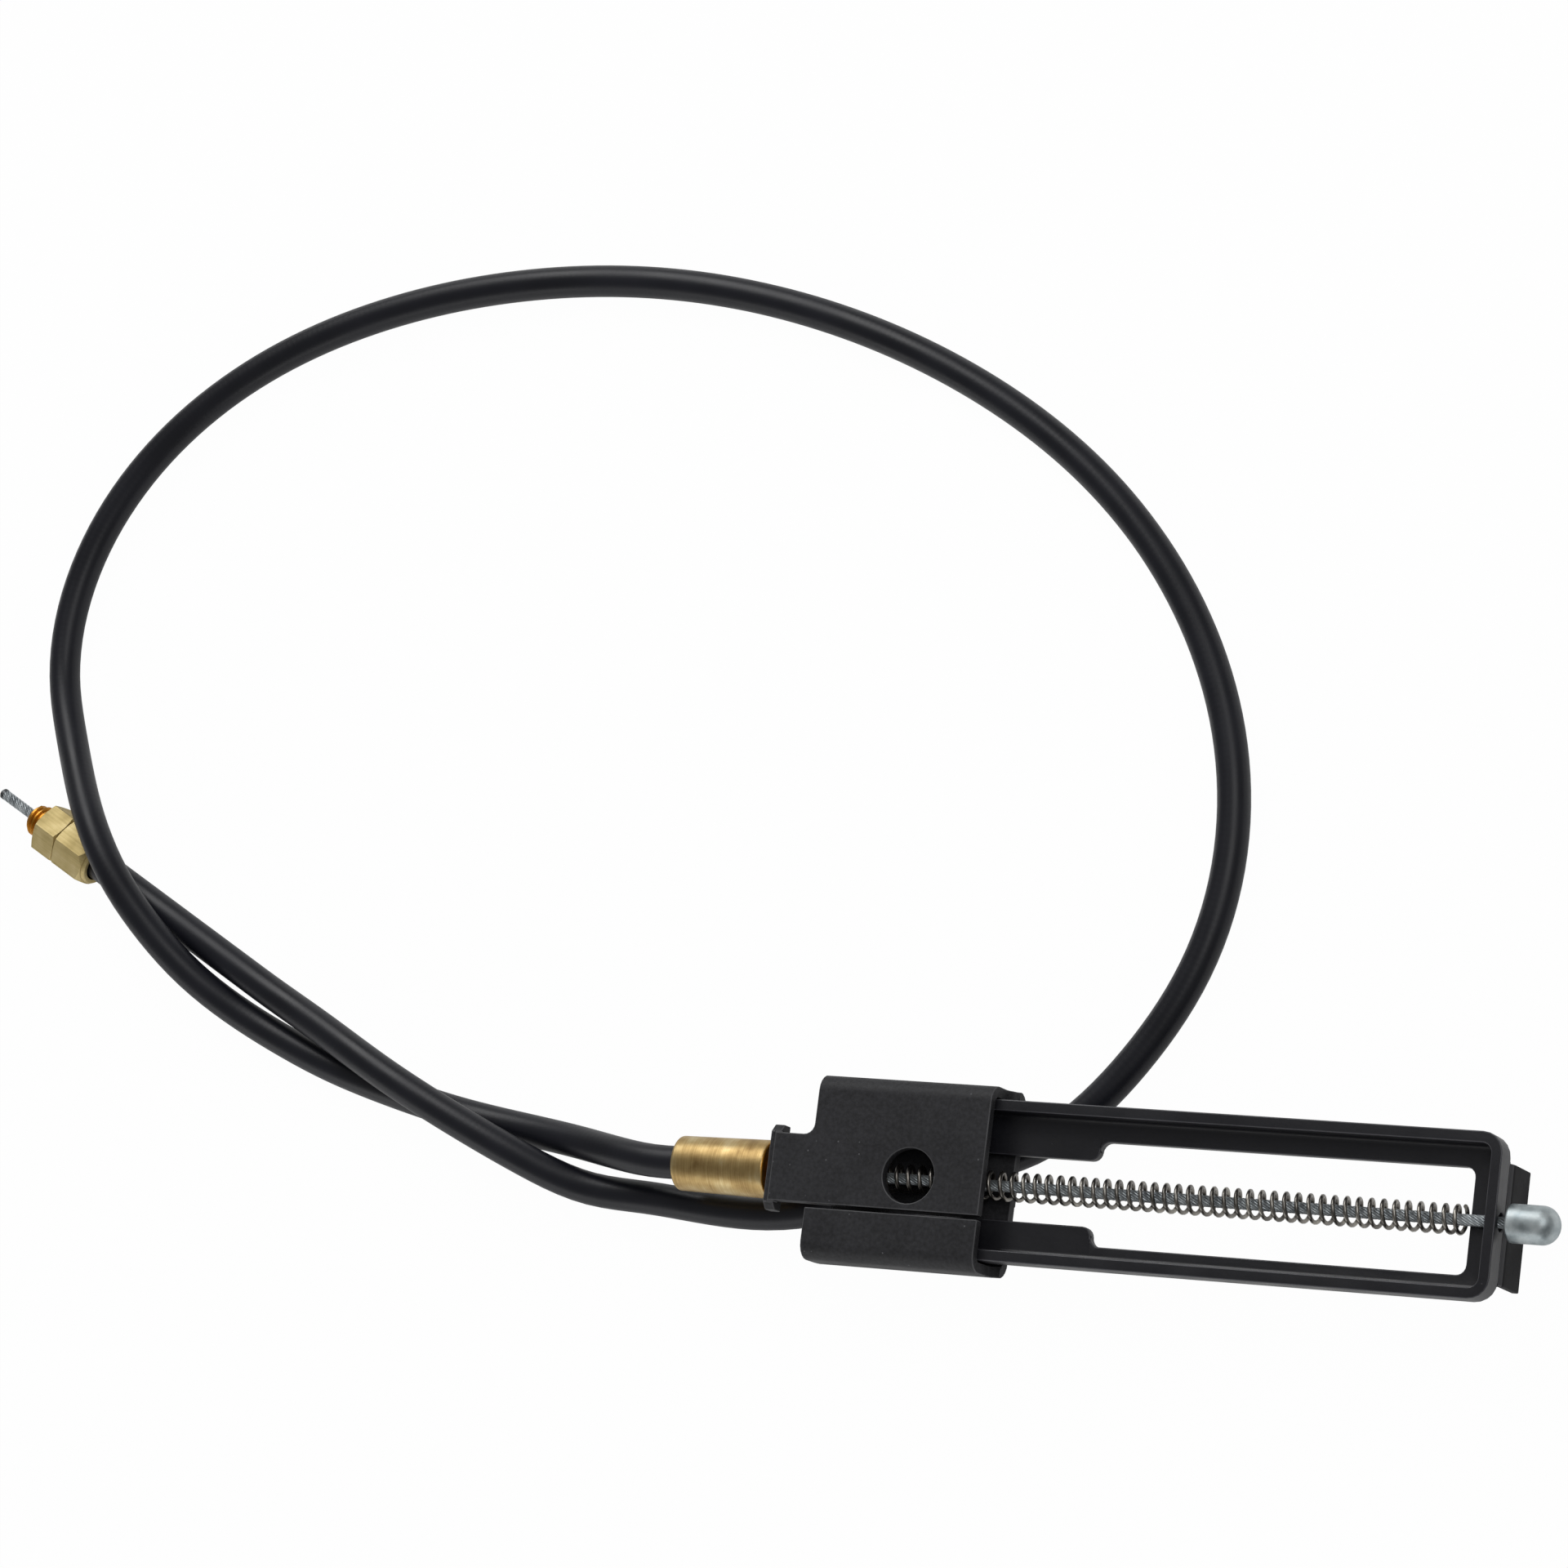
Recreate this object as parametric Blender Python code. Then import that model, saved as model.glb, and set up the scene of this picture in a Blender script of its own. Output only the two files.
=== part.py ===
# Cable-operated sliding clamp head: a spring-returned jaw pulled along a folded sleeve by a Bowden cable.
# Metres, +Z up. X runs along the slide towards the nipple, z = 0 is the table that the jaw tips stand on.
# The origin is the middle of the head, cable left out, on the table.

import math

import bmesh
import bpy
import numpy as np
from mathutils import Matrix, Vector

# Fits
RUN_GAP = 0.0003
SLIDE_GAP = 0.0003
BORE_GAP = 0.0003
OVERSHOOT = 0.002

# Folded sleeve that the jaw frame slides in
SLEEVE_SHEET = 0.0018
SLEEVE_FOLD = 0.0010
SLEEVE_LENGTH = 0.0305
SEAM_Y = -0.0065
SEAM_GAP = 0.0007
WINDOW_DIAMETER = 0.0090
WINDOW_FROM_MOUTH = 0.0129
BACK_REACH = 0.0019
BACK_SHOULDER = 0.0026
BACK_FILLET = 0.0016
HEEL_RADIUS = 0.0047

# Tongue of the sleeve, whose end is folded down to hold the ferrule
TONGUE_LENGTH = 0.0077
TONGUE_TOP = 0.0056
TONGUE_FILLET = 0.0018
FLANGE_EAR_WIDTH = 0.0140
FLANGE_FOOT_WIDTH = 0.0094
FLANGE_FOOT_DROP = 0.0034
FLANGE_EAR_DROP = 0.0034
FLANGE_FOLD_STEP = 0.0003
FLANGE_EAR_FILLET = 0.0012

# Jaws
JAW_DROP = 0.0060
SLEEVE_JAW_WIDTH = 0.0040
SLEEVE_JAW_SETBACK = 0.0006
FRAME_JAW_WIDTH = 0.0190
FRAME_JAW_REACH = 0.0006
FRAME_JAW_FOLD = 0.0010

# Sliding jaw frame, a tray with a long window
FRAME_WIDTH = 0.0260
FRAME_HEIGHT = 0.0058
FRAME_SHEET = 0.0018
FRAME_REACH = 0.0850
FRAME_ENGAGED = 0.0230
FRAME_CORNER = 0.0034
FRAME_FOLD = 0.0008
NARROW_WINDOW = 0.0106
WIDE_WINDOW = 0.0168
WINDOW_STEP = 0.0171
END_FLANGE = 0.0053
WINDOW_CORNER = 0.0016
WIRE_HOLE_DIAMETER = 0.0030

# The wire's line, a little to the near side of the sleeve's middle
AXIS_Y = -0.0006

# Cable ends at the head
WIRE_DIAMETER = 0.0019
FERRULE_LENGTH = 0.0170
FERRULE_DIAMETER = 0.0096
FERRULE_MOUTH_DIAMETER = 0.0090
FERRULE_CHAMFER = 0.0005
FERRULE_SOCKET = 0.0105
NECK_DIAMETER = 0.0044
NECK_LENGTH = 0.0008
NECK_HEAD_LENGTH = 0.0015
NIPPLE_DIAMETER = 0.0061
NIPPLE_LENGTH = 0.0082
NIPPLE_DOME = 0.0028
NIPPLE_CHAMFER = 0.0005
NIPPLE_SLACK = 0.0013
NIPPLE_SOCKET = 0.0055

# Return spring
SPRING_DIAMETER = 0.0049
SPRING_WIRE = 0.0007
SPRING_TURNS = 57
CLOSED_PITCH = 0.0011
SPRING_POINTS = 8
LEAST_SPRING_GAP = 0.0003

# Bowden casing: sheath, spiral conduit and the wire in it
CASING_DIAMETER = 0.0055
SHEATH_WALL = 0.0006
CONDUIT_DIAMETER = 0.0038
CONDUIT_WALL = 0.0004
LEAD_LENGTH = 0.0030
CASING_STEP = 0.0120

# Hex adjuster, jam nut and bare wire at the free end. The straight end of the casing holds the wire tail,
# which comes out by the jaw's whole travel of 50 mm.
HEX_ACROSS_FLATS = 0.0086
HEX_LENGTH = 0.0072
HEX_COLLAR_LENGTH = 0.0006
HEX_COLLAR_CHAMFER = 0.0003
HEX_CHAMFER = 0.0003
HEX_MOUTH_CHAMFER = 0.0009
HEX_FACE_INSET = 0.0001
HEX_SOCKET = 0.0052
STUB_DIAMETER = 0.0060
STUB_PROUD = 0.0037
NUT_LENGTH = 0.0052
NUT_GAP = 0.0001
TAIL_PROUD = 0.0088
TAIL_STRAIGHT = 0.0400
TAIL_ANGLE = math.radians(28.4)
FITTING_ROLL = math.radians(57.0)
FITTING_END = Vector((-0.1997, 0.0453, 0.0051))

# Route of the cable between its straight ends, chosen by hand from the photograph, lying on the table.
# It leaves the ferrule, runs round the loop, under the head and over its own first stretch to the fitting.
ROUTE = (
    (-0.0891, 0.0007, 0.0088),
    (-0.0986, 0.0025, 0.0054),
    (-0.1096, 0.0042, 0.0032),
    (-0.1226, 0.0062, 0.00275),
    (-0.1361, 0.0092, 0.00275),
    (-0.1496, 0.0131, 0.00275),
    (-0.1596, 0.0170, 0.0031),
    (-0.1681, 0.0210, 0.0041),
    (-0.1761, 0.0260, 0.0067),
    (-0.1846, 0.0338, 0.0105),
    (-0.1921, 0.0425, 0.0124),
    (-0.1986, 0.0515, 0.0116),
    (-0.2046, 0.0600, 0.0082),
    (-0.2101, 0.0690, 0.0048),
    (-0.2141, 0.0785, 0.0031),
    (-0.2152, 0.0880, 0.00275),
    (-0.2116, 0.1050, 0.00275),
    (-0.2016, 0.1212, 0.00275),
    (-0.1846, 0.1356, 0.00275),
    (-0.1626, 0.1457, 0.00275),
    (-0.1356, 0.1516, 0.00275),
    (-0.1036, 0.1522, 0.00275),
    (-0.0731, 0.1465, 0.00275),
    (-0.0436, 0.1347, 0.00275),
    (-0.0186, 0.1178, 0.00275),
    (-0.0006, 0.0968, 0.00275),
    (0.0091, 0.0748, 0.00275),
    (0.0112, 0.0547, 0.00275),
    (0.0079, 0.0384, 0.00275),
    (-0.0004, 0.0230, 0.00275),
    (-0.0181, 0.0064, 0.00275),
    (-0.0386, 0.0002, 0.00275),
    (-0.0559, -0.0060, 0.0028),
    (-0.0746, -0.0066, 0.0029),
    (-0.0846, -0.0058, 0.0034),
    (-0.0951, -0.0051, 0.0047),
    (-0.1066, -0.0014, 0.0076),
    (-0.1206, 0.0046, 0.0090),
    (-0.1351, 0.0114, 0.0088),
    (-0.1496, 0.0188, 0.0068),
)

ROUND_SIDES = 24
ARC_STEPS = 5
HOLE_SIDES = 32
WIRE_SIDES = 12
# Sides of the cone that turns off a hexagon's corners, so that none of its edges runs through a corner
HEX_TURN_SIDES = 46

# Places that follow from the sizes, across and up
sleeve_bottom = JAW_DROP
frame_bottom = sleeve_bottom + SLEEVE_SHEET + SLIDE_GAP
frame_floor = frame_bottom + FRAME_SHEET
frame_top = frame_bottom + FRAME_HEIGHT
sleeve_top = frame_top + SLIDE_GAP + SLEEVE_SHEET
sleeve_half = FRAME_WIDTH / 2 + SLIDE_GAP + SLEEVE_SHEET
axis_z = (frame_bottom + frame_top) / 2
neck_head_radius = sleeve_top - SLEEVE_SHEET - RUN_GAP - axis_z

# Places along X, measured from the sleeve's mouth and then centred on the head
ferrule_start = -(SLEEVE_LENGTH + TONGUE_LENGTH + NECK_LENGTH + FERRULE_LENGTH)
nipple_tip = FRAME_REACH + NIPPLE_SLACK + NIPPLE_LENGTH
mouth_x = -(ferrule_start + nipple_tip) / 2
sleeve_back_x = mouth_x - SLEEVE_LENGTH
flange_x = sleeve_back_x - TONGUE_LENGTH
ferrule_x = mouth_x + ferrule_start
neck_head_x = flange_x + SLEEVE_SHEET + RUN_GAP
frame_back_x = mouth_x - FRAME_ENGAGED
wall_out_x = mouth_x + FRAME_REACH
wall_in_x = wall_out_x - FRAME_SHEET
window_end_x = wall_out_x - END_FLANGE
nipple_x = wall_out_x + NIPPLE_SLACK
casing_start_x = ferrule_x + FERRULE_SOCKET - BORE_GAP
wire_split_x = flange_x

# The fitting's own axis, from the casing outwards
tail_way = Vector((-math.cos(TAIL_ANGLE), math.sin(TAIL_ANGLE), 0.0))
casing_end = FITTING_END + tail_way * (HEX_SOCKET - BORE_GAP)
fitting_length = HEX_COLLAR_LENGTH + HEX_LENGTH + NUT_GAP + NUT_LENGTH + STUB_PROUD
tail_inside = TAIL_STRAIGHT + fitting_length


def clear_scene():
    for thing in list(bpy.data.objects):
        bpy.data.objects.remove(thing, do_unlink=True)


def material(name, colour, roughness, metallic):
    made = bpy.data.materials.new(name)
    made.use_nodes = True
    shader = made.node_tree.nodes["Principled BSDF"]
    shader.inputs["Base Color"].default_value = (*colour, 1.0)
    shader.inputs["Roughness"].default_value = roughness
    shader.inputs["Metallic"].default_value = metallic
    return made


def add_object(name, data, finish=None):
    thing = bpy.data.objects.new(name, data)
    bpy.context.collection.objects.link(thing)
    if finish:
        data.materials.append(finish)
    return thing


def mesh_object(name, shape, finish=None):
    bmesh.ops.remove_doubles(shape, verts=shape.verts, dist=1e-7)
    bmesh.ops.recalc_face_normals(shape, faces=shape.faces)
    mesh = bpy.data.meshes.new(name)
    shape.to_mesh(mesh)
    shape.free()
    return add_object(name, mesh, finish)


def shade_round(thing, degrees=35):
    thing.data.shade_smooth()
    thing.data.set_sharp_from_angle(angle=math.radians(degrees))


def move_origin(thing, point):
    thing.data.transform(Matrix.Translation(-Vector(point)))
    thing.location = point


def helper(thing):
    thing.hide_render = True
    thing.display_type = "WIRE"


def combine(thing, other, operation):
    helper(other)
    step = thing.modifiers.new(operation.lower() + " " + other.name, "BOOLEAN")
    step.operation = operation
    step.solver = "EXACT"
    step.object = other


def prism(name, outline, along, low, high, finish=None):
    """A closed prism: the outline is (y, z) when along is X, (x, z) when it is Y and (x, y) when it is Z."""
    shape = bmesh.new()
    if along == "X":
        ring = [shape.verts.new((low, a, b)) for a, b in outline]
        way = Vector((high - low, 0.0, 0.0))
    elif along == "Y":
        ring = [shape.verts.new((a, low, b)) for a, b in outline]
        way = Vector((0.0, high - low, 0.0))
    else:
        ring = [shape.verts.new((a, b, low)) for a, b in outline]
        way = Vector((0.0, 0.0, high - low))
    face = shape.faces.new(ring)
    grown = bmesh.ops.extrude_face_region(shape, geom=[face])["geom"]
    bmesh.ops.translate(shape, verts=[v for v in grown if isinstance(v, bmesh.types.BMVert)], vec=way)
    return mesh_object(name, shape, finish)


def rectangle(low_a, high_a, low_b, high_b):
    return [(low_a, low_b), (high_a, low_b), (high_a, high_b), (low_a, high_b)]


def rounded(corners, steps=ARC_STEPS):
    """An outline from (a, b, radius) corners, each rounded by an arc that touches both of its sides."""
    outline = []
    for index, (a, b, radius) in enumerate(corners):
        here = Vector((a, b))
        if radius == 0:
            outline.append(here)
            continue
        before = (Vector(corners[index - 1][:2]) - here).normalized()
        after = (Vector(corners[(index + 1) % len(corners)][:2]) - here).normalized()
        half = before.angle(after) / 2
        reach = radius / math.tan(half)
        centre = here + (before + after).normalized() * (radius / math.sin(half))
        start = here + before * reach - centre
        turn = start.angle_signed(here + after * reach - centre)
        for step in range(steps + 1):
            outline.append(centre + Matrix.Rotation(-turn * step / steps, 2) @ start)
    return [tuple(point) for point in outline]


def folded_strip(path, sheet, fold, steps=ARC_STEPS):
    """The outline of a sheet folded at right angles along the middle line given by path."""
    points = [Vector(point) for point in path]
    ways = [(b - a).normalized() for a, b in zip(points, points[1:])]
    sides = ([], [])
    for side, sign in zip(sides, (0.5, -0.5)):
        side.append(points[0] + ways[0].orthogonal() * sheet * sign)
        for corner, way_in, way_out in zip(points[1:], ways, ways[1:]):
            left_turn = way_in.cross(way_out) > 0
            middle_radius = fold + sheet / 2
            radius = middle_radius - sheet * sign * (1 if left_turn else -1)
            centre = corner + (way_out - way_in) * middle_radius
            for step in range(steps + 1):
                swing = math.pi / 2 * step / steps
                side.append(centre + (way_in * math.sin(swing) - way_out * math.cos(swing)) * radius)
        side.append(points[-1] + ways[-1].orthogonal() * sheet * sign)
    return [tuple(point) for point in sides[0] + sides[1][::-1]]


def turned(name, profile, finish, sides=ROUND_SIDES):
    """A piece turned about its own X axis from a closed profile of (along, radius) points."""
    shape = bmesh.new()
    ring = [shape.verts.new((along, radius, 0.0)) for along, radius in profile]
    edges = [shape.edges.new((a, b)) for a, b in zip(ring, ring[1:] + ring[:1])]
    axis_edges = [e for e in edges if all(abs(v.co.y) < 1e-9 for v in e.verts)]
    bmesh.ops.delete(shape, geom=axis_edges, context="EDGES")
    bmesh.ops.spin(
        shape,
        geom=shape.verts[:] + shape.edges[:],
        cent=(0.0, 0.0, 0.0),
        axis=(1.0, 0.0, 0.0),
        angle=2 * math.pi,
        steps=sides,
        use_merge=True,
    )
    made = mesh_object(name, shape, finish)
    shade_round(made)
    return made


def rod(name, low, high, radius, finish=None, sides=ROUND_SIDES):
    return turned(name, [(low, 0.0), (low, radius), (high, radius), (high, 0.0)], finish, sides)


def smooth_curve(points, first_way, last_way, samples_per_span=24):
    """Points of the cubic spline through the given points, with the given directions at its ends."""
    places = np.array([tuple(point) for point in points])
    spans = np.linalg.norm(np.diff(places, axis=0), axis=1)
    count = len(places)
    matrix = np.eye(count)
    wanted = np.zeros((count, 3))
    wanted[0] = first_way
    wanted[-1] = last_way
    for row in range(1, count - 1):
        before, after = spans[row - 1], spans[row]
        matrix[row, row - 1 : row + 2] = after, 2 * (before + after), before
        climb_in = (places[row] - places[row - 1]) / before
        climb_out = (places[row + 1] - places[row]) / after
        wanted[row] = 3 * (after * climb_in + before * climb_out)
    slopes = np.linalg.solve(matrix, wanted)
    samples = []
    for row, span in enumerate(spans):
        for share in np.arange(samples_per_span) / samples_per_span:
            rise = share * share * (3 - 2 * share)
            leave = share * (1 - share) ** 2 * span
            arrive = share * share * (share - 1) * span
            place = places[row] * (1 - rise) + places[row + 1] * rise
            samples.append(place + slopes[row] * leave + slopes[row + 1] * arrive)
    samples.append(places[-1])
    return np.array(samples)


def spaced(points, step):
    """The same line with points an even step apart, near the step asked for."""
    lengths = np.concatenate([[0.0], np.cumsum(np.linalg.norm(np.diff(points, axis=0), axis=1))])
    count = max(2, round(lengths[-1] / step) + 1)
    marks = np.linspace(0.0, lengths[-1], count)
    return np.stack([np.interp(marks, lengths, points[:, axis]) for axis in range(3)], axis=1)


def casing_line():
    """The casing's middle line: straight out of the ferrule, along the route, straight into the fitting."""
    start = Vector((casing_start_x, AXIS_Y, axis_z))
    lead = Vector((ferrule_x - LEAD_LENGTH, AXIS_Y, axis_z))
    straight = FITTING_END - tail_way * TAIL_STRAIGHT
    bend = smooth_curve([lead, *ROUTE, straight], (-1.0, 0.0, 0.0), tail_way)
    return np.vstack([start, spaced(bend, CASING_STEP), casing_end])


def tube(name, points, radius, resolution, finish, wall=None):
    """A round tube along the points. With a wall it is hollow and open at its ends."""
    data = bpy.data.curves.new(name, "CURVE")
    data.dimensions = "3D"
    data.bevel_depth = radius
    data.bevel_resolution = resolution
    data.use_fill_caps = wall is None
    spline = data.splines.new("POLY")
    spline.points.add(len(points) - 1)
    for place, point in zip(spline.points, points):
        place.co = (*point, 1.0)
    made = add_object(name, data, finish)
    if wall:
        hollow = made.modifiers.new("bore", "SOLIDIFY")
        hollow.thickness = wall
        hollow.offset = -1.0
        hollow.use_even_offset = True
        hollow.use_rim = True
    return made


def make_sleeve(finish):
    middle = SLEEVE_SHEET / 2
    far, near = sleeve_half - middle, middle - sleeve_half
    front, back = sleeve_top - middle, sleeve_bottom + middle
    path = (
        (SEAM_Y + SEAM_GAP / 2, front),
        (far, front),
        (far, back),
        (near, back),
        (near, front),
        (SEAM_Y - SEAM_GAP / 2, front),
    )
    section = folded_strip(path, SLEEVE_SHEET, SLEEVE_FOLD)
    flange_middle_x = flange_x + SLEEVE_SHEET / 2
    back_mouth_x = mouth_x + BACK_REACH
    body = prism("slide_body", section, "X", flange_middle_x, back_mouth_x, finish)

    beyond = sleeve_half + OVERSHOOT
    low, high = sleeve_bottom - OVERSHOOT, sleeve_top + OVERSHOOT
    shoulder = sleeve_bottom + BACK_SHOULDER
    mouth = rounded(
        [
            (mouth_x, high, 0),
            (mouth_x, shoulder, BACK_FILLET),
            (back_mouth_x + OVERSHOOT, shoulder, 0),
            (back_mouth_x + OVERSHOOT, high, 0),
        ]
    )
    combine(body, prism("mouth cut", mouth, "Y", -beyond, beyond), "DIFFERENCE")

    clear_x = flange_x - OVERSHOOT
    tongue_top = AXIS_Y + TONGUE_TOP
    far_side = rounded(
        [
            (clear_x, tongue_top, 0),
            (sleeve_back_x, tongue_top, TONGUE_FILLET),
            (sleeve_back_x, beyond, 0),
            (clear_x, beyond, 0),
        ]
    )
    combine(body, prism("tongue far cut", far_side, "Z", low, high), "DIFFERENCE")
    near_side = rectangle(clear_x, sleeve_back_x, -beyond, SEAM_Y)
    combine(body, prism("tongue near cut", near_side, "Z", low, high), "DIFFERENCE")
    under = rectangle(clear_x, sleeve_back_x, SEAM_Y - OVERSHOOT, tongue_top + OVERSHOOT)
    combine(body, prism("tongue floor cut", under, "Z", low, axis_z), "DIFFERENCE")

    swings = np.linspace(1.5 * math.pi, math.pi, 2 * ARC_STEPS)
    heel = [(sleeve_back_x - OVERSHOOT, low), (sleeve_back_x + HEEL_RADIUS, low)]
    for swing in swings:
        heel.append(
            (
                sleeve_back_x + HEEL_RADIUS * (1 + math.cos(swing)),
                sleeve_bottom + HEEL_RADIUS * (1 + math.sin(swing)),
            )
        )
    heel.append((sleeve_back_x - OVERSHOOT, sleeve_bottom + HEEL_RADIUS))
    combine(body, prism("heel cut", heel, "Y", -beyond, beyond), "DIFFERENCE")

    window = rod("sleeve window", sleeve_top - SLEEVE_SHEET - OVERSHOOT, sleeve_top + OVERSHOOT,
                 WINDOW_DIAMETER / 2, sides=HOLE_SIDES)
    window.data.transform(Matrix.Rotation(-math.pi / 2, 4, "Y"))
    window.location = (mouth_x - WINDOW_FROM_MOUTH, AXIS_Y, 0.0)
    combine(body, window, "DIFFERENCE")

    combine(body, make_flange(), "UNION")
    half = SLEEVE_JAW_WIDTH / 2
    jaw = rectangle(AXIS_Y - half, AXIS_Y + half, 0.0, sleeve_bottom + middle)
    jaw_face_x = mouth_x - SLEEVE_JAW_SETBACK
    combine(body, prism("sleeve jaw", jaw, "X", jaw_face_x - SLEEVE_SHEET, jaw_face_x), "UNION")
    return body


def make_flange():
    """The tongue's folded end: ears, a narrower foot between the rails, and a slot for the neck."""
    top = sleeve_top - FLANGE_FOLD_STEP
    ear_bottom = top - FLANGE_EAR_DROP
    foot = axis_z - FLANGE_FOOT_DROP
    ear, leg, slot = FLANGE_EAR_WIDTH / 2, FLANGE_FOOT_WIDTH / 2, NECK_DIAMETER / 2 + BORE_GAP
    right = [
        (leg, foot),
        (leg, ear_bottom),
        (ear, ear_bottom),
        (ear, top - FLANGE_EAR_FILLET),
        (ear - FLANGE_EAR_FILLET, top),
    ]
    swings = np.linspace(0.0, math.pi, HOLE_SIDES // 2)
    crown = [(slot * math.cos(t), axis_z + slot * math.sin(t)) for t in swings]
    outline = [(slot, foot), *right, *[(-y, z) for y, z in right[::-1]], (-slot, foot), *crown[::-1]]
    return prism("flange", [(AXIS_Y + y, z) for y, z in outline], "X", flange_x, flange_x + SLEEVE_SHEET)


def make_frame(finish):
    half = FRAME_WIDTH / 2
    plan = rounded(
        [
            (frame_back_x, -half, 0),
            (wall_out_x, -half, FRAME_CORNER),
            (wall_out_x, half, FRAME_CORNER),
            (frame_back_x, half, 0),
        ]
    )
    body = prism("jaw_frame", plan, "Z", frame_bottom, frame_top, finish)
    round_lower_rim(body, frame_bottom, frame_back_x, FRAME_FOLD + FRAME_SHEET / 2)

    inside = half - FRAME_SHEET
    inner_corner = FRAME_CORNER - FRAME_SHEET
    open_x = frame_back_x - OVERSHOOT
    cavity = rounded(
        [
            (open_x, -inside, 0),
            (wall_in_x, -inside, inner_corner),
            (wall_in_x, inside, inner_corner),
            (open_x, inside, 0),
        ]
    )
    hollow = prism("tray hollow", cavity, "Z", frame_floor, frame_top + OVERSHOOT)
    round_lower_rim(hollow, frame_floor, open_x, FRAME_FOLD)
    combine(body, hollow, "DIFFERENCE")

    step_x = mouth_x + WINDOW_STEP
    narrow, wide, corner = NARROW_WINDOW / 2, WIDE_WINDOW / 2, WINDOW_CORNER
    lower = [
        (open_x, -narrow, 0),
        (step_x, -narrow, corner),
        (step_x, -wide, corner),
        (window_end_x, -wide, corner),
    ]
    upper = [(x, -y, radius) for x, y, radius in lower[::-1]]
    window = [(x, AXIS_Y + y) for x, y in rounded(lower + upper)]
    combine(body, prism("tray window", window, "Z", frame_bottom - OVERSHOOT, axis_z), "DIFFERENCE")

    hole = rod("wire hole", wall_in_x - OVERSHOOT, wall_out_x + OVERSHOOT, WIRE_HOLE_DIAMETER / 2)
    hole.location = (0.0, AXIS_Y, axis_z)
    combine(body, hole, "DIFFERENCE")

    lip_middle_x = wall_out_x + FRAME_JAW_REACH - FRAME_SHEET / 2
    lip_middle_z = frame_bottom + FRAME_SHEET / 2
    lip_path = (
        (window_end_x + FRAME_SHEET, lip_middle_z),
        (lip_middle_x, lip_middle_z),
        (lip_middle_x, 0.0),
    )
    # A little thinner than the tray's sheet, so that no face of the two lies on another
    lip = folded_strip(lip_path, FRAME_SHEET - 2 * RUN_GAP, FRAME_JAW_FOLD)
    width = FRAME_JAW_WIDTH / 2
    combine(body, prism("frame jaw", lip, "Y", AXIS_Y - width, AXIS_Y + width), "UNION")
    move_origin(body, (wall_out_x, AXIS_Y, axis_z))
    return body


def round_lower_rim(thing, level, open_x, radius):
    """Rounds the lower edge of a tray, but for its open end."""
    shape = bmesh.new()
    shape.from_mesh(thing.data)
    rim = [
        edge
        for edge in shape.edges
        if all(abs(v.co.z - level) < 1e-6 for v in edge.verts)
        and not all(abs(v.co.x - open_x) < 1e-6 for v in edge.verts)
    ]
    bmesh.ops.bevel(shape, geom=rim, offset=radius, segments=3, profile=0.5, affect="EDGES")
    shape.to_mesh(thing.data)
    shape.free()


def on_axis(thing, x):
    thing.location = (x, AXIS_Y, axis_z)
    return thing


def make_ferrule(finish):
    body, mouth = FERRULE_DIAMETER / 2, FERRULE_MOUTH_DIAMETER / 2
    neck, head = NECK_DIAMETER / 2, neck_head_radius
    socket, bore = CASING_DIAMETER / 2 + BORE_GAP, WIRE_DIAMETER / 2 + BORE_GAP
    head_start = neck_head_x - ferrule_x
    head_end = head_start + NECK_HEAD_LENGTH
    profile = [
        (0.0, socket),
        (0.0, mouth - FERRULE_CHAMFER),
        (FERRULE_CHAMFER, mouth),
        (FERRULE_LENGTH - FERRULE_CHAMFER, body),
        (FERRULE_LENGTH, body - FERRULE_CHAMFER),
        (FERRULE_LENGTH, neck),
        (head_start, neck),
        (head_start, head),
        (head_end, head),
        (head_end, bore),
        (FERRULE_SOCKET, bore),
        (FERRULE_SOCKET, socket),
    ]
    return on_axis(turned("casing_ferrule", profile, finish), ferrule_x)


def make_nipple(finish):
    radius, bore = NIPPLE_DIAMETER / 2, WIRE_DIAMETER / 2 + BORE_GAP
    shoulder = NIPPLE_LENGTH - NIPPLE_DOME
    dome = [
        (shoulder + NIPPLE_DOME * math.sin(t), radius * math.cos(t))
        for t in np.linspace(0.0, math.pi / 2, 2 * ARC_STEPS)[:-1]
    ]
    profile = [
        (0.0, bore),
        (0.0, radius - NIPPLE_CHAMFER),
        (NIPPLE_CHAMFER, radius),
        *dome,
        (NIPPLE_LENGTH, 0.0),
        (NIPPLE_SOCKET, 0.0),
        (NIPPLE_SOCKET, bore),
    ]
    return on_axis(turned("cable_nipple", profile, finish), nipple_x)


def make_head_wire(finish):
    start = wire_split_x + RUN_GAP
    length = nipple_x + NIPPLE_SOCKET - BORE_GAP - start
    return on_axis(rod("head_wire", 0.0, length, WIRE_DIAMETER / 2, finish, sides=WIRE_SIDES), start)


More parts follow.
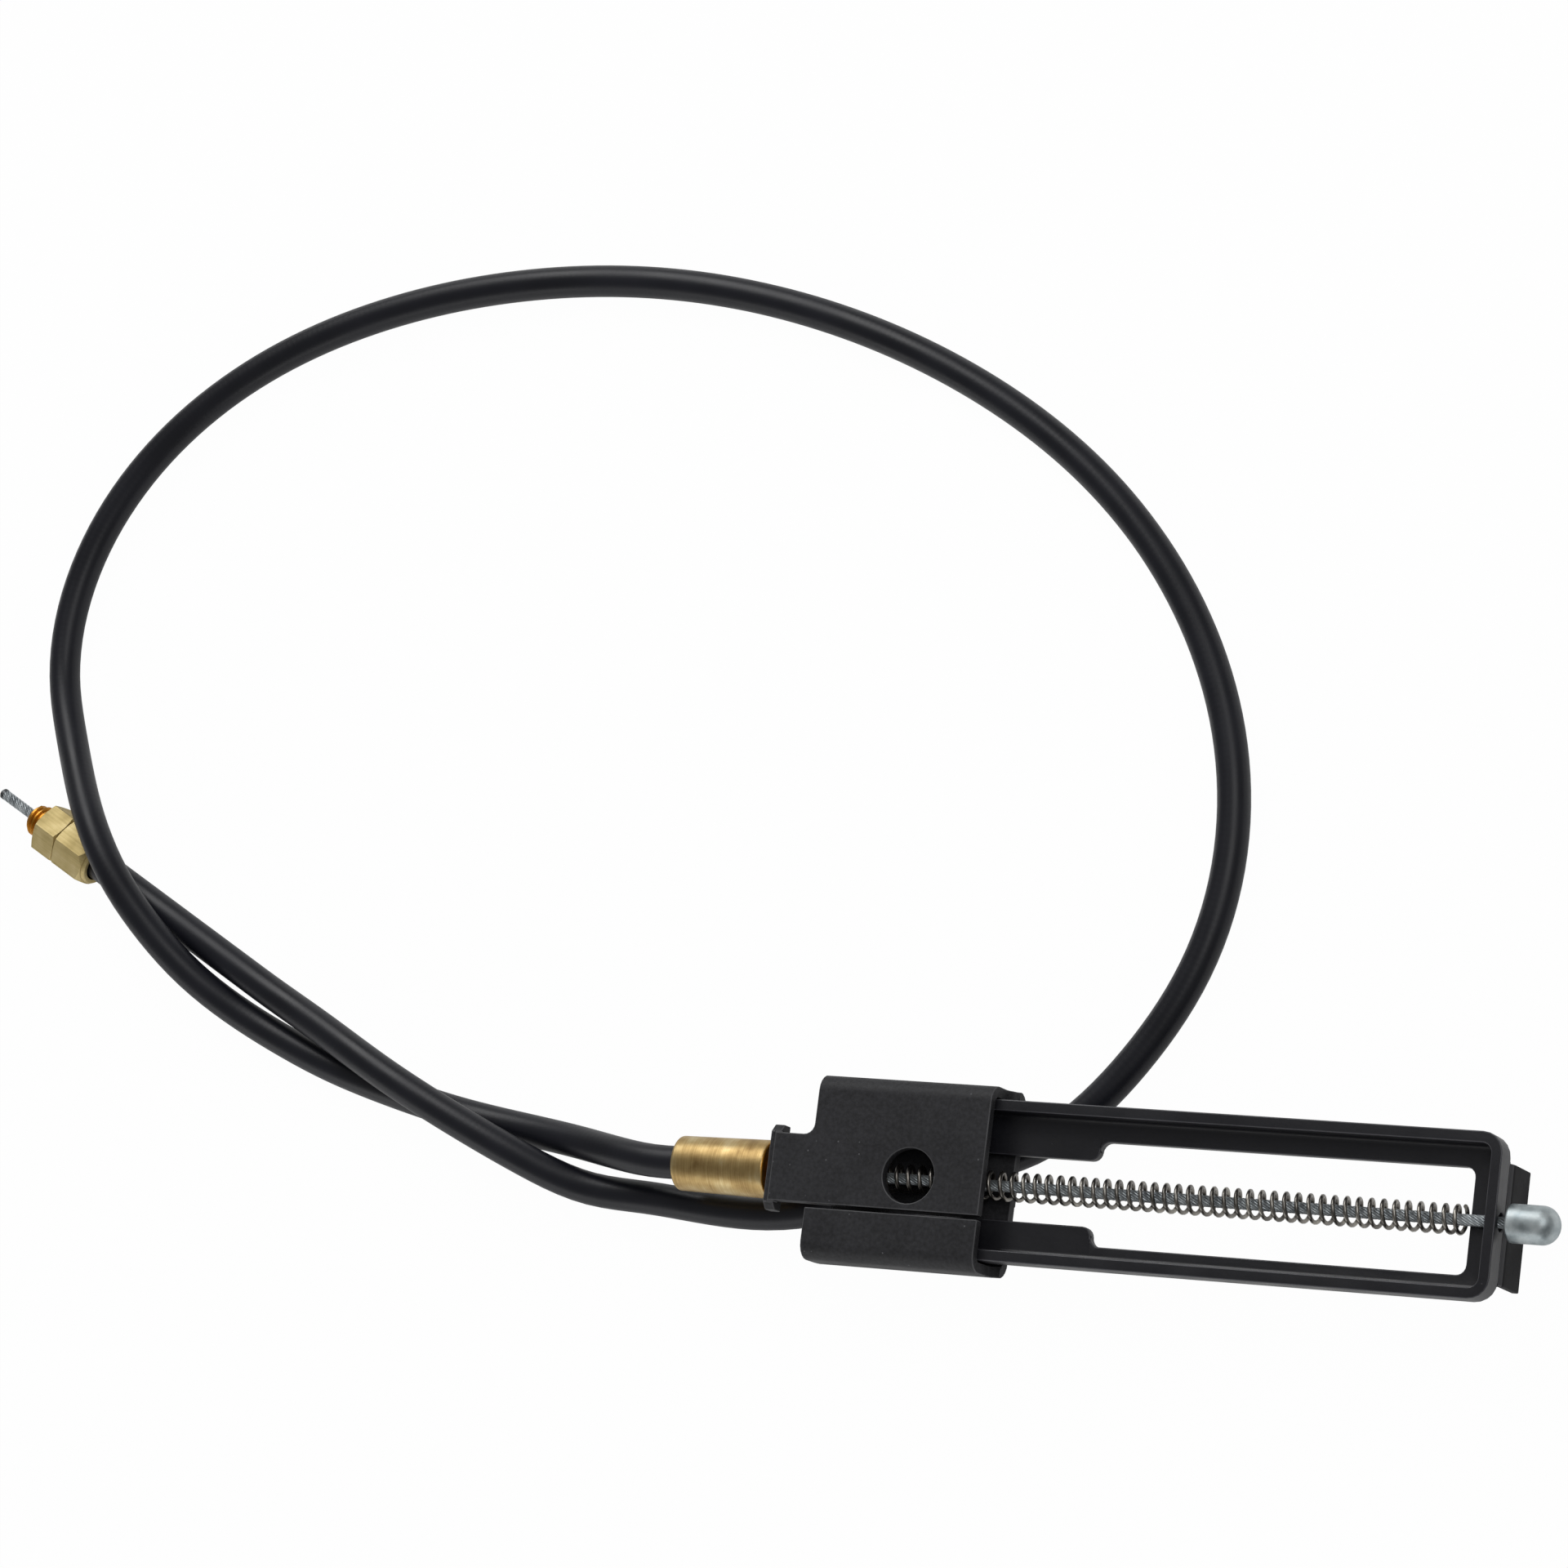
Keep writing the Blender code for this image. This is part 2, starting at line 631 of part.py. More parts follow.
def make_spring(finish):
    """One unbroken coil from the ferrule's head to the window's end, closed up a little in its end turns."""
    start = neck_head_x + NECK_HEAD_LENGTH + RUN_GAP + SPRING_WIRE / 2
    end = window_end_x - RUN_GAP - SPRING_WIRE / 2
    open_pitch = (end - start - 2 * CLOSED_PITCH) / (SPRING_TURNS - 2)
    radius = (SPRING_DIAMETER - SPRING_WIRE) / 2
    points = []
    for index in range(SPRING_TURNS * SPRING_POINTS + 1):
        turn = index / SPRING_POINTS
        closed = min(turn, 1.0) + max(0.0, turn - (SPRING_TURNS - 1))
        x = start + closed * CLOSED_PITCH + (turn - closed) * open_pitch
        swing = 2 * math.pi * turn
        points.append((x, AXIS_Y + radius * math.cos(swing), axis_z + radius * math.sin(swing)))
    line = np.array(points)
    near_turn = np.linalg.norm(line[SPRING_POINTS:] - line[:-SPRING_POINTS], axis=1).min() - SPRING_WIRE
    print(f"return_spring: least gap between turns {near_turn * 1000:.2f} mm")
    assert near_turn > LEAST_SPRING_GAP
    return tube("return_spring", points, SPRING_WIRE / 2, 1, finish)


def make_casing(sheath_finish, conduit_finish, wire_finish):
    line = casing_line()
    length = np.linalg.norm(np.diff(line, axis=0), axis=1).sum()
    print(f"casing: {len(line)} points, {length * 1000:.0f} mm long")
    tube("casing_sheath", line, CASING_DIAMETER / 2, 3, sheath_finish, SHEATH_WALL)
    tube("casing_conduit", line, CONDUIT_DIAMETER / 2, 2, conduit_finish, CONDUIT_WALL)
    wire_start = (wire_split_x, AXIS_Y, axis_z)
    wire_end = FITTING_END - tail_way * (TAIL_STRAIGHT + RUN_GAP)
    tube("inner_wire", np.vstack([wire_start, line[1:-2], wire_end]), WIRE_DIAMETER / 2, 2, wire_finish)


def on_tail(thing, along):
    thing.location = FITTING_END + tail_way * along
    thing.rotation_euler = (FITTING_ROLL, 0.0, math.pi - TAIL_ANGLE)
    return thing


def hex_bar(name, low, high, low_chamfer, high_chamfer, finish):
    """A hexagon bar along its own X axis with the corners of each end turned off."""
    corner = HEX_ACROSS_FLATS / 2 / math.cos(math.pi / 6)
    swings = [math.pi / 3 * (k + 0.5) for k in range(6)]
    outline = [(corner * math.cos(swing), corner * math.sin(swing)) for swing in swings]
    bar = prism(name, outline, "X", low - OVERSHOOT, high + OVERSHOOT, finish)
    face, tip = HEX_ACROSS_FLATS / 2 - HEX_FACE_INSET, corner + RUN_GAP
    reach = (tip - face) / (corner - face)
    turn_off = [
        (low, 0.0),
        (low, face),
        (low + low_chamfer * reach, tip),
        (high - high_chamfer * reach, tip),
        (high, face),
        (high, 0.0),
    ]
    envelope = turned(name + " ends", turn_off, None, sides=HEX_TURN_SIDES)
    combine(bar, envelope, "INTERSECT")
    return bar, envelope


def make_adjuster(finish):
    """Hex body, turned collar on the casing side and threaded stub on the other, with a bore through."""
    start, hex_end = HEX_COLLAR_LENGTH, HEX_COLLAR_LENGTH + HEX_LENGTH
    body, envelope = hex_bar("hex_adjuster", start, hex_end, HEX_MOUTH_CHAMFER, HEX_CHAMFER, finish)
    flat = HEX_ACROSS_FLATS / 2
    stub, bore = STUB_DIAMETER / 2, WIRE_DIAMETER / 2 + BORE_GAP
    socket = CASING_DIAMETER / 2 + BORE_GAP
    overlap = HEX_COLLAR_LENGTH
    collar = [
        (0.0, 0.0),
        (0.0, flat - RUN_GAP - HEX_COLLAR_CHAMFER),
        (HEX_COLLAR_CHAMFER, flat - RUN_GAP),
        (start + overlap, flat - RUN_GAP),
        (start + overlap, 0.0),
    ]
    hollow = [
        (-OVERSHOOT, 0.0),
        (-OVERSHOOT, socket),
        (HEX_SOCKET, socket),
        (HEX_SOCKET, bore),
        (fitting_length + OVERSHOOT, bore),
        (fitting_length + OVERSHOOT, 0.0),
    ]
    pieces = [
        envelope,
        turned("collar", collar, None),
        rod("stub", hex_end - overlap, fitting_length, stub),
        turned("casing socket and wire bore", hollow, None),
    ]
    for piece, operation in zip(pieces[1:], ("UNION", "UNION", "DIFFERENCE")):
        combine(body, piece, operation)
    for piece in pieces:
        on_tail(piece, 0.0)
    return on_tail(body, 0.0)


def make_nut(finish):
    start = HEX_COLLAR_LENGTH + HEX_LENGTH + NUT_GAP
    nut, envelope = hex_bar("jam_nut", start, start + NUT_LENGTH, HEX_CHAMFER, HEX_CHAMFER, finish)
    bore = rod("nut bore", start - OVERSHOOT, start + NUT_LENGTH + OVERSHOOT, STUB_DIAMETER / 2 + BORE_GAP)
    combine(nut, bore, "DIFFERENCE")
    for piece in (envelope, bore):
        on_tail(piece, 0.0)
    return on_tail(nut, 0.0)


def make_tail(finish):
    tail = rod("wire_tail", -tail_inside, TAIL_PROUD, WIRE_DIAMETER / 2, finish, sides=WIRE_SIDES)
    return on_tail(tail, fitting_length)


def main():
    clear_scene()
    black_steel = material("painted black steel", (0.028, 0.028, 0.030), 0.55, 0.0)
    frame_black = material("semi-gloss black steel", (0.020, 0.020, 0.023), 0.38, 0.0)
    brass = material("turned brass", (0.52, 0.38, 0.14), 0.32, 1.0)
    pale_brass = material("drawn brass", (0.58, 0.45, 0.19), 0.36, 1.0)
    spring_steel = material("spring steel", (0.42, 0.39, 0.35), 0.34, 1.0)
    galvanised = material("galvanised wire", (0.48, 0.51, 0.54), 0.42, 1.0)
    zinc = material("cast zinc", (0.58, 0.62, 0.64), 0.36, 1.0)
    sheath = material("black sheath", (0.018, 0.018, 0.021), 0.36, 0.0)
    conduit = material("conduit steel", (0.40, 0.40, 0.41), 0.45, 1.0)
    make_sleeve(black_steel)
    make_frame(frame_black)
    make_ferrule(brass)
    make_nipple(zinc)
    make_head_wire(galvanised)
    make_spring(spring_steel)
    make_casing(sheath, conduit, galvanised)
    make_adjuster(pale_brass)
    make_nut(pale_brass)
    make_tail(galvanised)


main()
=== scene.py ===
import math

import bmesh
import bpy
import numpy as np
from mathutils import Matrix, Vector


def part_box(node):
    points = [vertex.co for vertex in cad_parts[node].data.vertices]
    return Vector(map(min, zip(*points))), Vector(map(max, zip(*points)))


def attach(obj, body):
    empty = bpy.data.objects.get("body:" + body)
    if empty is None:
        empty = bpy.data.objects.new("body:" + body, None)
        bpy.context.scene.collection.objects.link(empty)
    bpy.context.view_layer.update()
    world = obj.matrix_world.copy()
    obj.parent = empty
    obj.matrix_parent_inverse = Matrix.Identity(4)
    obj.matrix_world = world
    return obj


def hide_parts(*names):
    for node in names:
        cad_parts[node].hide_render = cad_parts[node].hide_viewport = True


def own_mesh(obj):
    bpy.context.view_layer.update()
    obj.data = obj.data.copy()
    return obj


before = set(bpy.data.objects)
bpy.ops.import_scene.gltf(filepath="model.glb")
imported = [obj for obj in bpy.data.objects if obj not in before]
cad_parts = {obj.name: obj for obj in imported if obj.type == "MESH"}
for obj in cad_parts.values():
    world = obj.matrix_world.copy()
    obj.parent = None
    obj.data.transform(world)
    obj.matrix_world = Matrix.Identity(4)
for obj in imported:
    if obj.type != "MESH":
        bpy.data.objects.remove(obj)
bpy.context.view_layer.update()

millimetre = 0.001
weldDistance = 1e-7               # corners closer than this are one
nodeWeldDistance = 1e-6           # the same for the loose triangles of a CAD node


def linear(hexColour):  # sRGB hex to the linear colour that a shader reads
    parts = [int(hexColour[i:i + 2], 16) / 255 for i in (1, 3, 5)]
    return [c / 12.92 if c <= 0.04045 else ((c + 0.055) / 1.055) ** 2.4 for c in parts] + [1.0]


def addNode(tree, kind, links=None, stops=(), **settings):  # a node, its settings, and what feeds its inputs
    node = tree.nodes.new(kind)
    for name, value in settings.items():
        setattr(node, name, value)
    for i, (place, colour) in enumerate(stops):
        band = node.color_ramp.elements
        stop = band[i] if i < len(band) else band.new(place)
        stop.position = place
        stop.color = linear(colour)
    for socket, value in (links or {}).items():
        if isinstance(value, bpy.types.NodeSocket):
            tree.links.new(value, node.inputs[socket])
        else:
            node.inputs[socket].default_value = value
    return node


def newMaterial(name, **values):  # a named material with its shader's fixed values set
    made = bpy.data.materials.new(name)
    made.use_nodes = True
    shader = made.node_tree.nodes["Principled BSDF"]
    for socket, value in values.items():
        shader.inputs[socket.replace("_", " ")].default_value = value
    return made, made.node_tree, shader


def perMillimetre(size):  # texture scale that gives features of this size in mm
    return 1 / (size * millimetre)


def newPiece(name, data, body, material):
    piece = bpy.data.objects.new(name, data)
    bpy.context.scene.collection.objects.link(piece)
    data.materials.clear()
    data.materials.append(material)
    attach(piece, body)
    return piece


def closeShape(shape, name, smoothAngle=40):  # merged, facing outwards, shaded smooth below this angle
    bmesh.ops.remove_doubles(shape, verts=shape.verts, dist=weldDistance)
    bmesh.ops.recalc_face_normals(shape, faces=shape.faces)
    mesh = bpy.data.meshes.new(name)
    shape.to_mesh(mesh)
    shape.free()
    mesh.shade_smooth()
    mesh.set_sharp_from_angle(angle=math.radians(smoothAngle))
    return mesh


# Camera and light


viewpoint = {
    "place": (0.34786, -0.10595, 0.84383),
    "back": (0.43743, -0.17928, 0.88120),  # from the object to the camera
    "up": (-0.03572, 0.97569, 0.21624),
    "lens": 131.25,               # mm, as is the sensor
    "sensor": 36.0,
}


def setCamera():
    back = Vector(viewpoint["back"]).normalized()
    right = Vector(viewpoint["up"]).cross(back).normalized()
    up = back.cross(right)
    data = bpy.data.cameras.new("camera")
    data.lens = viewpoint["lens"]
    data.sensor_width = viewpoint["sensor"]
    camera = bpy.data.objects.new("camera", data)
    turned = Matrix((right, up, back)).transposed().to_4x4()
    camera.matrix_world = Matrix.Translation(viewpoint["place"]) @ turned
    bpy.context.scene.collection.objects.link(camera)
    bpy.context.scene.camera = camera
    bpy.context.scene.view_settings.view_transform = "Standard"


studio = {
    "room": 0.21,                 # level of the pale room all round
    "floorColour": "#f6f6f6",
    "floorSize": 6.0,
    "floorWhite": 0.98,           # share of plain white in what the camera sees of the floor
    "mirroredWhite": 0.40,        # the same share where metal and gloss mirror the floor
    "softboxes": (                # name, place, aimed at, width, height, power in watts
        ("key from behind left", (-0.50, 0.92, 0.70), (-0.05, 0.06, 0.0), 0.50, 0.80, 5.6),
        ("right overhead", (0.42, 0.28, 0.88), (-0.05, 0.06, 0.0), 0.70, 0.45, 2.3),
        ("front panel", (-0.40, -0.85, 0.20), (0.0, 0.0, 0.0), 1.60, 0.40, 2.7),
    ),
}


def setStudio():
    world = bpy.data.worlds.new("pale room")
    bpy.context.scene.world = world
    world.use_nodes = True
    sky = world.node_tree.nodes["Background"]
    sky.inputs["Color"].default_value = linear("#ffffff")
    sky.inputs["Strength"].default_value = studio["room"]
    for name, place, aim, width, height, power in studio["softboxes"]:
        lamp = bpy.data.lights.new(name, "AREA")
        lamp.shape = "RECTANGLE"
        lamp.size, lamp.size_y, lamp.energy = width, height, power
        box = bpy.data.objects.new(name, lamp)
        box.location = place
        box.rotation_euler = (Vector(aim) - Vector(place)).to_track_quat("-Z", "Y").to_euler()
        bpy.context.scene.collection.objects.link(box)

    shape = bmesh.new()
    bmesh.ops.create_grid(shape, x_segments=1, y_segments=1, size=studio["floorSize"] / 2)
    floor = bpy.data.objects.new("floor", closeShape(shape, "floor"))
    paper, tree, shader = newMaterial("white paper floor", Roughness=0.9, Specular_IOR_Level=0.1)
    shader.inputs["Base Color"].default_value = linear(studio["floorColour"])
    path = addNode(tree, "ShaderNodeLightPath")
    mirrored = addNode(tree, "ShaderNodeMath",
                       {0: path.outputs["Is Glossy Ray"], 1: path.outputs["Is Transmission Ray"]},
                       operation="MAXIMUM")
    part = addNode(tree, "ShaderNodeMath",
                   {0: mirrored.outputs[0], 1: studio["mirroredWhite"]}, operation="MULTIPLY")
    share = addNode(tree, "ShaderNodeMath",
                    {0: path.outputs["Is Camera Ray"], 1: studio["floorWhite"], 2: part.outputs[0]},
                    operation="MULTIPLY_ADD")
    white = addNode(tree, "ShaderNodeEmission", {"Color": linear("#ffffff"), "Strength": 1.0})
    blend = addNode(tree, "ShaderNodeMixShader",
                    {0: share.outputs[0], 1: shader.outputs[0], 2: white.outputs[0]})
    tree.links.new(blend.outputs[0], tree.nodes["Material Output"].inputs["Surface"])
    floor.data.materials.append(paper)
    bpy.context.scene.collection.objects.link(floor)


setCamera()
setStudio()
print("camera and studio set")


# Places that every piece shares, read from the frame


nippleLow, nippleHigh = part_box("cable_nipple")
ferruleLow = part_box("casing_ferrule")[0]
springLow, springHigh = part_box("return_spring")
headWireLow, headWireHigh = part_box("head_wire")
axisY = (nippleLow.y + nippleHigh.y) / 2
axisZ = (nippleLow.z + nippleHigh.z) / 2
sleeveBody, jawBody, pullBody = "sleeve_and_casing", "sliding_jaw", "pull_wire"

fitting = {                       # the hex fitting at the cable's free end
    "place": (-0.1997, 0.0453, 0.0051),
    "angle": 28.4,                # degrees from -X towards +Y
    "roll": 57.0,                 # degrees about its own length
    "hexEnd": 0.0078,             # lengths along the fitting, from its casing end
    "stubEnd": 0.0168,
    "casingDepth": 0.0049,
    "stubCut": 0.0015,            # past the hexagon, where the drawn thread takes over inside the nut
}
fittingAngle = math.radians(fitting["angle"])
outwards = Vector((-math.cos(fittingAngle), math.sin(fittingAngle), 0.0))
onFitting = (Matrix.Translation(fitting["place"])
             @ Matrix.Rotation(math.pi - fittingAngle, 4, "Z")
             @ Matrix.Rotation(math.radians(fitting["roll"]), 4, "X"))
onAxis = Matrix.Translation((0.0, axisY, axisZ))


# Pull cable


cable = {
    "sheath": 0.0055,
    "conduit": 0.0038,
    "wire": 0.0019,
    "lead": 0.0030,               # straight run out of the ferrule
    "socketDepth": 0.0102,        # how far the casing sits in the ferrule
    "tailStraight": 0.0400,       # straight run into the hex fitting
    "wireGap": 0.0003,            # between the cased wire and the bare wire in the head
    "step": 0.0025,
    "spanSteps": 40,              # places read on each span of the route
    "sheathSides": 32,
    "conduitSides": 16,
    "wireSides": 12,
    "ribPitch": 1.15,             # mm between the conduit's turns showing through the sheath
}
cableRoute = [
    (-0.0891, 0.0007, 0.0088),
    (-0.0986, 0.0025, 0.0054),
    (-0.1096, 0.0042, 0.0032),
    (-0.1226, 0.0062, 0.00275),
    (-0.1361, 0.0092, 0.00275),
    (-0.1496, 0.0131, 0.00275),
    (-0.1596, 0.0170, 0.0031),
    (-0.1681, 0.0210, 0.0041),
    (-0.1761, 0.0260, 0.0067),
    (-0.1846, 0.0338, 0.0105),
    (-0.1921, 0.0425, 0.0124),
    (-0.1986, 0.0515, 0.0116),
    (-0.2046, 0.0600, 0.0082),
    (-0.2101, 0.0690, 0.0048),
    (-0.2141, 0.0785, 0.0031),
    (-0.2152, 0.0880, 0.00275),
    (-0.2116, 0.1050, 0.00275),
    (-0.2016, 0.1212, 0.00275),
    (-0.1846, 0.1356, 0.00275),
    (-0.1626, 0.1457, 0.00275),
    (-0.1356, 0.1516, 0.00275),
    (-0.1036, 0.1522, 0.00275),
    (-0.0731, 0.1465, 0.00275),
    (-0.0436, 0.1347, 0.00275),
    (-0.0186, 0.1178, 0.00275),
    (-0.0006, 0.0968, 0.00275),
    (0.0091, 0.0748, 0.00275),
    (0.0112, 0.0547, 0.00275),
    (0.0079, 0.0384, 0.00275),
    (-0.0004, 0.0230, 0.00275),
    (-0.0181, 0.0064, 0.00275),
    (-0.0386, 0.0002, 0.00275),
    (-0.0559, -0.0060, 0.0028),
    (-0.0746, -0.0066, 0.0029),
    (-0.0846, -0.0058, 0.0034),
    (-0.0951, -0.0051, 0.0047),
    (-0.1066, -0.0014, 0.0076),
    (-0.1206, 0.0046, 0.0090),
    (-0.1351, 0.0114, 0.0088),
    (-0.1496, 0.0188, 0.0068),
]


def smoothLine(points, firstWay, lastWay, step):  # cubic spline through the points, read at even steps
    places = np.array([tuple(p) for p in points])
    spans = np.linalg.norm(np.diff(places, axis=0), axis=1)
    rows = np.eye(len(places))
    wanted = np.zeros((len(places), 3))
    wanted[0], wanted[-1] = firstWay, lastWay
    for i in range(1, len(places) - 1):
        before, after = spans[i - 1], spans[i]
        rows[i, i - 1:i + 2] = after, 2 * (before + after), before
        arriving = after * (places[i] - places[i - 1]) / before
        leaving = before * (places[i + 1] - places[i]) / after
        wanted[i] = 3 * (arriving + leaving)
    slopes = np.linalg.solve(rows, wanted)
    fine = []
    for i, span in enumerate(spans):
        for t in np.linspace(0.0, 1.0, cable["spanSteps"], endpoint=i == len(spans) - 1):
            ease = t * t * (3 - 2 * t)
            bend = slopes[i] * t * (1 - t) ** 2 + slopes[i + 1] * t * t * (t - 1)
            fine.append(places[i] * (1 - ease) + places[i + 1] * ease + bend * span)
    fine = np.array(fine)
    run = np.concatenate([[0.0], np.cumsum(np.linalg.norm(np.diff(fine, axis=0), axis=1))])
    marks = np.linspace(0.0, run[-1], round(run[-1] / step) + 1)
    return np.stack([np.interp(marks, run, fine[:, k]) for k in range(3)], axis=1)


def casingLine():  # straight out of the ferrule, round the loop, straight into the fitting
    end = Vector(fitting["place"])
    start = Vector((ferruleLow.x + cable["socketDepth"], axisY, axisZ))
    lead = Vector((ferruleLow.x - cable["lead"], axisY, axisZ))
    straight = end - outwards * cable["tailStraight"]
    bend = smoothLine([lead, *cableRoute, straight], (-1.0, 0.0, 0.0), outwards, cable["step"])
    return np.vstack([start, bend, end + outwards * fitting["casingDepth"]])


def curveTube(name, line, diameter, sides, material):
    data = bpy.data.curves.new(name, "CURVE")
    data.dimensions = "3D"
    data.bevel_depth = diameter / 2
    data.bevel_resolution = sides // 4 - 1
    data.use_fill_caps = True
    spline = data.splines.new("POLY")
    spline.points.add(len(line) - 1)
    for point, place in zip(spline.points, line):
        point.co = (*place, 1.0)
    spline.use_smooth = True
    return newPiece(name, data, sleeveBody, material)


def sheathVinyl(length):  # extruded black PVC: satin, the conduit's turns showing through as faint rings
    made, tree, shader = newMaterial("extruded black PVC", IOR=1.5, Specular_IOR_Level=0.38)
    where = addNode(tree, "ShaderNodeTexCoord")
    along = addNode(tree, "ShaderNodeSeparateXYZ", {0: where.outputs["UV"]})
    turns = length / millimetre / cable["ribPitch"]
    phase = addNode(tree, "ShaderNodeMath", {0: along.outputs["X"], 1: turns * 2 * math.pi},
                    operation="MULTIPLY")
    rings = addNode(tree, "ShaderNodeMath", {0: phase.outputs[0]}, operation="SINE")
    smear = addNode(tree, "ShaderNodeTexNoise",
                    {"Vector": where.outputs["Object"], "Scale": perMillimetre(14), "Detail": 3.0})
    grain = addNode(tree, "ShaderNodeTexNoise",
                    {"Vector": where.outputs["Object"], "Scale": perMillimetre(0.5), "Detail": 2.0})
    colour = addNode(tree, "ShaderNodeValToRGB", {"Fac": smear.outputs["Fac"]},
                     stops=((0.35, "#111219"), (0.65, "#171820")))
    tree.links.new(colour.outputs[0], shader.inputs["Base Color"])
    rough = addNode(tree, "ShaderNodeMapRange",
                    {"Value": smear.outputs["Fac"], "From Min": 0.3, "From Max": 0.7,
                     "To Min": 0.35, "To Max": 0.45})
    tree.links.new(rough.outputs[0], shader.inputs["Roughness"])
    height = addNode(tree, "ShaderNodeMath", {0: rings.outputs[0], 1: 0.35, 2: grain.outputs["Fac"]},
                     operation="MULTIPLY_ADD")
    bump = addNode(tree, "ShaderNodeBump",
                   {"Height": height.outputs[0], "Strength": 0.12, "Distance": 0.05 * millimetre})
    tree.links.new(bump.outputs[0], shader.inputs["Normal"])
    return made


def conduitSteel():  # bright flat wire wound into a spiral, only ever seen at a cut end
    made, tree, shader = newMaterial("wound bright steel", Metallic=1.0, Roughness=0.4)
    where = addNode(tree, "ShaderNodeTexCoord")
    noise = addNode(tree, "ShaderNodeTexNoise",
                    {"Vector": where.outputs["Object"], "Scale": perMillimetre(2), "Detail": 2.0})
    colour = addNode(tree, "ShaderNodeValToRGB", {"Fac": noise.outputs["Fac"]},
                     stops=((0.3, "#8c8c8e"), (0.7, "#a9a9ab")))
    tree.links.new(colour.outputs[0], shader.inputs["Base Color"])
    return made


def strandSteel():  # galvanised drawn wire: dull zinc grey with a blue cast, darker where it is handled
    made, tree, shader = newMaterial("galvanised strand wire", Metallic=0.7)
    where = addNode(tree, "ShaderNodeTexCoord")
    patch = addNode(tree, "ShaderNodeTexNoise",
                    {"Vector": where.outputs["Object"], "Scale": perMillimetre(2.5), "Detail": 4.0})
    colour = addNode(tree, "ShaderNodeValToRGB", {"Fac": patch.outputs["Fac"]},
                     stops=((0.3, "#959b9f"), (0.55, "#b6bcbf"), (0.75, "#d0d5d7")))
    tree.links.new(colour.outputs[0], shader.inputs["Base Color"])
    rough = addNode(tree, "ShaderNodeMapRange",
                    {"Value": patch.outputs["Fac"], "From Min": 0.3, "From Max": 0.7,
                     "To Min": 0.38, "To Max": 0.55})
    tree.links.new(rough.outputs[0], shader.inputs["Roughness"])
    return made


line = casingLine()
casingLength = float(np.linalg.norm(np.diff(line, axis=0), axis=1).sum())
galvanised = strandSteel()
sheath = curveTube("sheath", line, cable["sheath"], cable["sheathSides"],
                   sheathVinyl(casingLength))
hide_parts("casing_sheath")
conduit = curveTube("conduit", line, cable["conduit"], cable["conduitSides"],
                    conduitSteel())
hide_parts("casing_conduit")
wireLine = np.vstack([(headWireLow.x - cable["wireGap"], axisY, axisZ), line[1:-1]])
caseWire = curveTube("caseWire", wireLine, cable["wire"], cable["wireSides"], galvanised)
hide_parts("inner_wire")
print(f"cable laid: {casingLength / millimetre:.0f} mm of casing")


# Wire strands and return spring


strand = {
    "count": 11,                  # outer wires round a core
    "lay": 0.0085,                # length of one turn
    "wire": 0.00042,
    "sides": 8,
    "coreSides": 12,
    "stepsPerTurn": 12,
}


def strandMesh(name, low, high, place):  # outer wires wound round a straight core, along X
    shape = bmesh.new()
    turns = (high - low) / strand["lay"]
    steps = round(turns * strand["stepsPerTurn"])
    ringRadius = (cable["wire"] - strand["wire"]) / 2
    rounds = [(2 * math.pi * k / strand["count"], ringRadius, strand["wire"] / 2, strand["sides"])
              for k in range(strand["count"])]
    for swing, offset, radius, sides in [*rounds, (0.0, 0.0, ringRadius, strand["coreSides"])]:
        ring = bmesh.ops.create_circle(shape, segments=sides, radius=radius, cap_ends=True)["verts"]
        bmesh.ops.rotate(shape, verts=ring, matrix=Matrix.Rotation(math.pi / 2, 3, "Y"))
        start = Vector((low, offset * math.cos(swing), offset * math.sin(swing)))
        bmesh.ops.translate(shape, verts=ring, vec=start)
        bmesh.ops.spin(
            shape,
            geom=[ring[0].link_faces[0]],
            cent=(0.0, 0.0, 0.0),
            axis=(1.0, 0.0, 0.0),
            dvec=((high - low) / steps, 0.0, 0.0),
            angle=2 * math.pi * turns,
            steps=steps,
            use_duplicate=False,
        )
    shape.transform(place)
    return closeShape(shape, name)


coil = {
    "diameter": 0.0049,
    "wire": 0.0007,
    "turns": 57,
    "closedPitch": 0.0011,
    "sides": 10,
    "stepsPerTurn": 20,
}


def springMesh(name):  # one helix with a closed turn at each end
    shape = bmesh.new()
    radius = (coil["diameter"] - coil["wire"]) / 2
    start, end = springLow.x + coil["wire"] / 2, springHigh.x - coil["wire"] / 2
    openPitch = (end - start - 2 * coil["closedPitch"]) / (coil["turns"] - 2)
    ring = bmesh.ops.create_circle(shape, segments=coil["sides"], radius=coil["wire"] / 2,
                                   cap_ends=True)["verts"]
    bmesh.ops.translate(shape, verts=ring, vec=(start, radius, 0.0))
    last = [ring[0].link_faces[0]]
    closedRun = (1, coil["closedPitch"])
    openRun = (coil["turns"] - 2, openPitch)
    for turns, pitch in (closedRun, openRun, closedRun):
        made = bmesh.ops.spin(
            shape,
            geom=last,
            cent=(0.0, 0.0, 0.0),
            axis=(1.0, 0.0, 0.0),
            dvec=(pitch / coil["stepsPerTurn"], 0.0, 0.0),
            angle=2 * math.pi * turns,
            steps=turns * coil["stepsPerTurn"],
            use_duplicate=False,
        )
        last = [g for g in made["geom_last"] if isinstance(g, bmesh.types.BMFace)]
    inner = [f for f in shape.faces if all(len(e.link_faces) > 2 for e in f.edges)]
    bmesh.ops.delete(shape, geom=inner, context="FACES_ONLY")  # the discs left between the three runs
    shape.transform(onAxis)
    return closeShape(shape, name)


